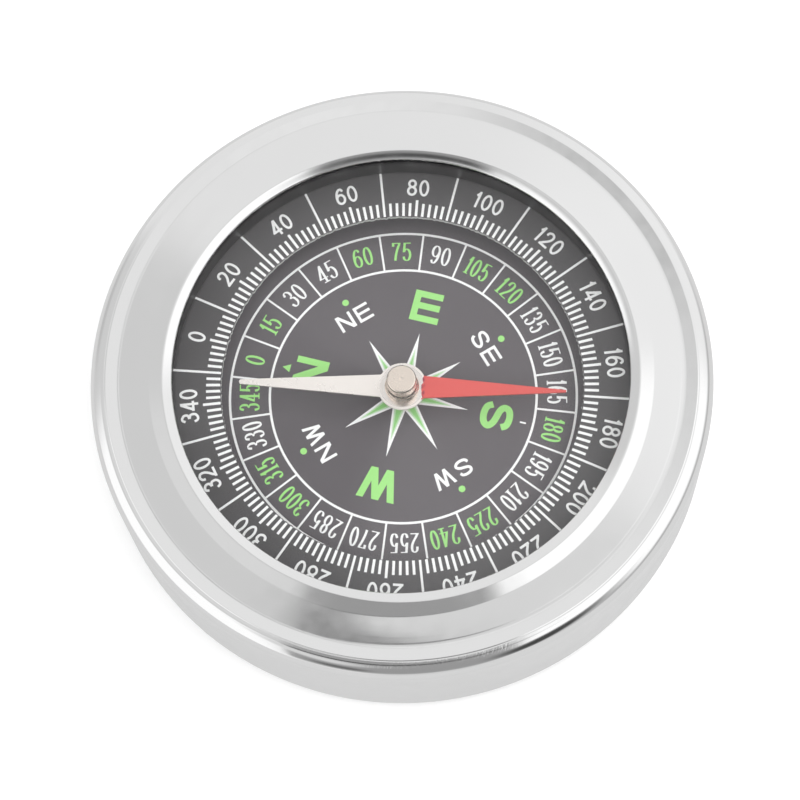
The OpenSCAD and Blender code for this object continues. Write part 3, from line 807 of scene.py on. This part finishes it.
def bearingFrom(centre):
    # signed angle in degrees from a bearing
    x, y, z = coordinates(tree, remapped(tree, fromMirror, (0, 0, radians(-centre))))
    return maths(tree, "MULTIPLY", maths(tree, "ARCTAN2", y, x), degrees(1))


def fadeIn(value, low, high):
    return mapped(tree, value, low, high, 0.0, 1.0, "SMOOTHSTEP")


def fadeOut(value, low, high):
    return mapped(tree, value, low, high, 1.0, 0.0, "SMOOTHSTEP")


def sector(centre, half, soft):
    # 1 within half degrees of a bearing, 0 outside
    return fadeOut(maths(tree, "ABSOLUTE", bearingFrom(centre)), half - soft, half + soft)


def oval(x, y, wide, high):
    # 1 in the middle of an oval whose half sizes are in degrees, 0 outside
    offset = vectorMaths(tree, "ADD", plane, (-x, -y, 0))
    offset = vectorMaths(tree, "MULTIPLY", offset, (1 / wide, 1 / high, 0))
    return fadeOut(vectorMaths(tree, "LENGTH", offset, output="Value"), 0.5, 1.5)


def times(a, b):
    return maths(tree, "MULTIPLY", a, b)


def painted(tone, where, newTone):
    return blendValue(tree, where, tone, newTone)


# Each panel's bearing, half width and softness, how it fades, by what and between which two values,
# and its tone
panels = [(10, 45, 25, fadeIn, reach, 4, 9, 1.02),  # far right
          (192, 50, 7, fadeIn, reach, 7, 10, 0.74),  # gap on the left
          (216, 30, 12, fadeOut, reach, 4.5, 6.5, 0.55),
          (280, 18, 8, fadeOut, reach, 4.5, 6.5, 1.03),
          (165, 20, 6, fadeOut, reach, 4.5, 6.5, 0.74),
          (290, 31, 5, fadeIn, reach, 7, 9, 0.81),  # near right, close in
          (211, 31, 8, fadeIn, reach, 17, 22, 0.84),
          (211, 31, 8, fadeIn, reach, 26, 29, 0.7),
          (211, 31, 8, fadeIn, reach, 31, 37, 1.24),  # window on the left
          (320, 36, 7, fadeIn, reach, 17, 20, 1.27),  # window on the right
          (335, 45, 20, fadeIn, lean, 66, 84, 0.55)]  # below that window
tone = room["ceiling"]
for bearing, half, soft, fade, measure, low, high, newTone in panels:
    tone = painted(tone, times(sector(bearing, half, soft), fade(measure, low, high)), newTone)
tone = painted(tone, oval(-64, 50, 15, 15), 0.62)

# Dark shades in front: a wedge whose right side moves out with the reach, a flap beside it and corners
across = bearingFrom(room["bend"])
nearSide, farSide = room["shadeNear"] - room["bend"], room["shadeWide"] - room["bend"]
rightSide = mapped(tree, reach, 12.5, 18, nearSide, farSide, "SMOOTHSTEP")
pastRight = maths(tree, "SUBTRACT", across, rightSide)
left = room["shadeFrom"] - room["bend"]
wedge = times(times(fadeIn(across, left - 0.8, left + 0.8), fadeOut(pastRight, -2, 2)), fadeIn(reach, 6, 9))
flap = times(sector(296, 15, 9), fadeIn(lean, 42, 54))
wedgeTone = mapped(tree, reach, 15, 20, room["shadeTone"], room["slopeTone"])
tone = painted(tone, times(wedge, fadeOut(lean, 74, 88)), wedgeTone)
tone = painted(tone, times(flap, fadeOut(lean, 74, 88)), room["flapTone"])
tone = painted(tone, oval(-20, -27, 9, 14), 0.8)
lipShade = times(fadeIn(across, left - 1, left + 1), fadeOut(across, 2, 38))
tone = painted(tone, times(lipShade, times(fadeIn(reach, 30, 34), fadeOut(reach, 37, 40))), 0.08)
tone = painted(tone, oval(32, -57, 14, 17), room["darkTone"])
tone = painted(tone, oval(-26, -60, 8, 9), room["cornerTone"])
rays = addNode(tree, "ShaderNodeLightPath").outputs
tone = painted(tone, rays["Is Camera Ray"], 1.0)
tree.links.new(tone, background.inputs["Color"])

# Soft lamps, which the steel doesn't mirror: one overhead, one in front, and one at the side, which
# draws the needle's shadow on the dial
lamps = {"overhead": {"size": 0.45, "distance": 0.6, "power": 1.06, "elevation": 77, "azimuth": -140},
         "front": {"size": 0.25, "distance": 0.5, "power": 0.45, "elevation": 50, "azimuth": -160},
         "side": {"size": 0.16, "distance": 0.5, "power": 0.42, "elevation": 44, "azimuth": -40}}
for name, lamp in lamps.items():
    light = bpy.data.lights.new(name + " lamp", "AREA")
    light.shape, light.size, light.energy = "DISK", lamp["size"], lamp["power"]
    lampPiece = bpy.data.objects.new(name + " lamp", light)
    bpy.context.collection.objects.link(lampPiece)
    e, a = radians(lamp["elevation"]), radians(lamp["azimuth"])
    lampPiece.location = [lamp["distance"] * c for c in (cos(e) * cos(a), cos(e) * sin(a), sin(e))]
    lampPiece.rotation_euler = (0, pi / 2 - e, a)
    lampPiece.visible_glossy = False

# The camera stands where the photograph was taken from
view = {"elevation": 71.269, "roll": 6.225, "distance": 309.862, "aside": 0.396, "above": 0.434, "aim": 6.6,
        "lens": 112.9, "sensor": 36.0}
e, roll = radians(view["elevation"]), radians(view["roll"])
right, upward, back = np.array([1, 0, 0]), np.array([0, sin(e), cos(e)]), np.array([0, -cos(e), sin(e)])
axes = np.array([cos(roll) * right - sin(roll) * upward, sin(roll) * right + cos(roll) * upward, back])
place = axes.T @ np.array([-view["aside"], -view["above"], view["distance"]])
a = radians(studio["azimuth"])
turn = np.array([(cos(a), -sin(a), 0), (sin(a), cos(a), 0), (0, 0, 1)])
matrix = np.eye(4)
matrix[:3, :3] = turn @ axes.T
matrix[:3, 3] = (turn @ place + (0, 0, view["aim"])) * mm
cameraData = bpy.data.cameras.new("camera")
cameraData.lens, cameraData.sensor_width = view["lens"], view["sensor"]
cameraData.clip_start, cameraData.clip_end = 0.01, 10
cameraPiece = bpy.data.objects.new("camera", cameraData)
bpy.context.collection.objects.link(cameraPiece)
cameraPiece.matrix_world = matrix.T.tolist()
bpy.context.scene.camera = cameraPiece
bpy.context.scene.view_settings.view_transform = "Standard"
print("studio made")

bpy.context.view_layer.update()
